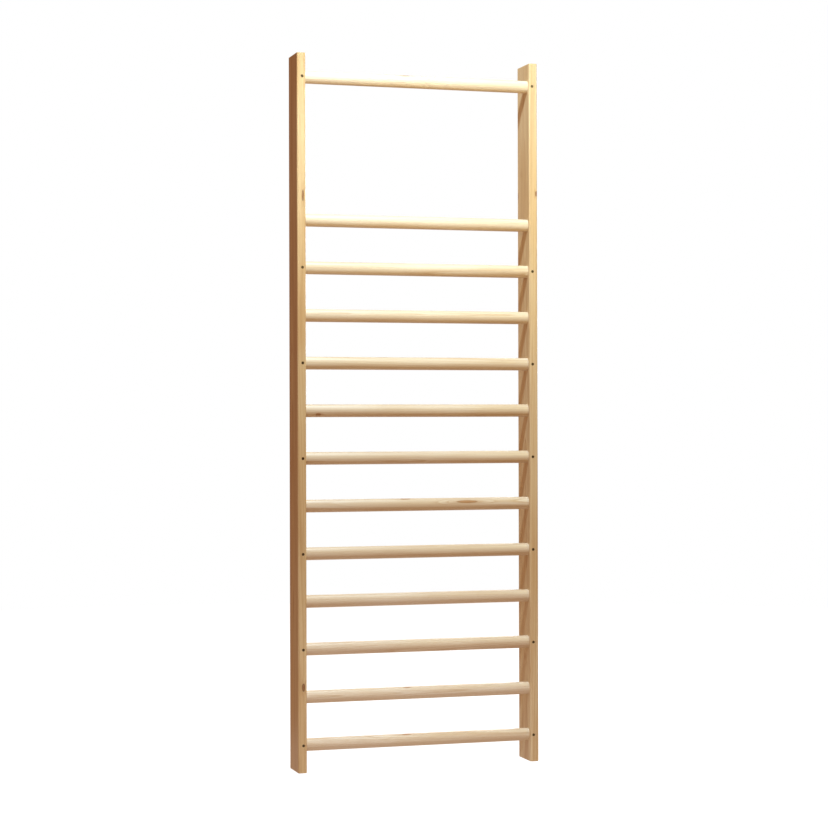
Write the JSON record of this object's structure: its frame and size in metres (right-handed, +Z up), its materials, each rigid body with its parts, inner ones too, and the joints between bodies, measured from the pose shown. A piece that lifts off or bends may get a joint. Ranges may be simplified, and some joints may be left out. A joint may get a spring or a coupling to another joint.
{
  "type": "wall bars",
  "caption": "Wooden wall bars for climbing and stretching: upright boards joined by oval rungs, evenly spaced, with a wide gap below the top rung.",
  "frame": {"origin": "on the floor, midway between the uprights and midway between their front and rear edges", "axes": "+Z up along the uprights; -Y is the front, which is climbed; +Y faces the wall; X runs along the rungs"},
  "size_m": [0.8, 0.112, 2.26],
  "materials": {
    "upright_wood": "clear satin lacquer on planed pine",
    "rung_wood": "clear satin lacquer on turned pine",
    "screw_steel": "yellow-passivated zinc, dulled"
  },
  "bodies": {
    "root": {"left_upright": "upright_wood", "right_upright": "upright_wood", "rung_01": "rung_wood", "rung_02": "rung_wood", "rung_03": "rung_wood", "rung_04": "rung_wood", "rung_05": "rung_wood", "rung_06": "rung_wood", "rung_07": "rung_wood", "rung_08": "rung_wood", "rung_09": "rung_wood", "rung_10": "rung_wood", "rung_11": "rung_wood", "rung_12": "rung_wood", "rung_13": "rung_wood", "left_rung_screws": "screw_steel", "right_rung_screws": "screw_steel"}
  },
  "joints": []
}
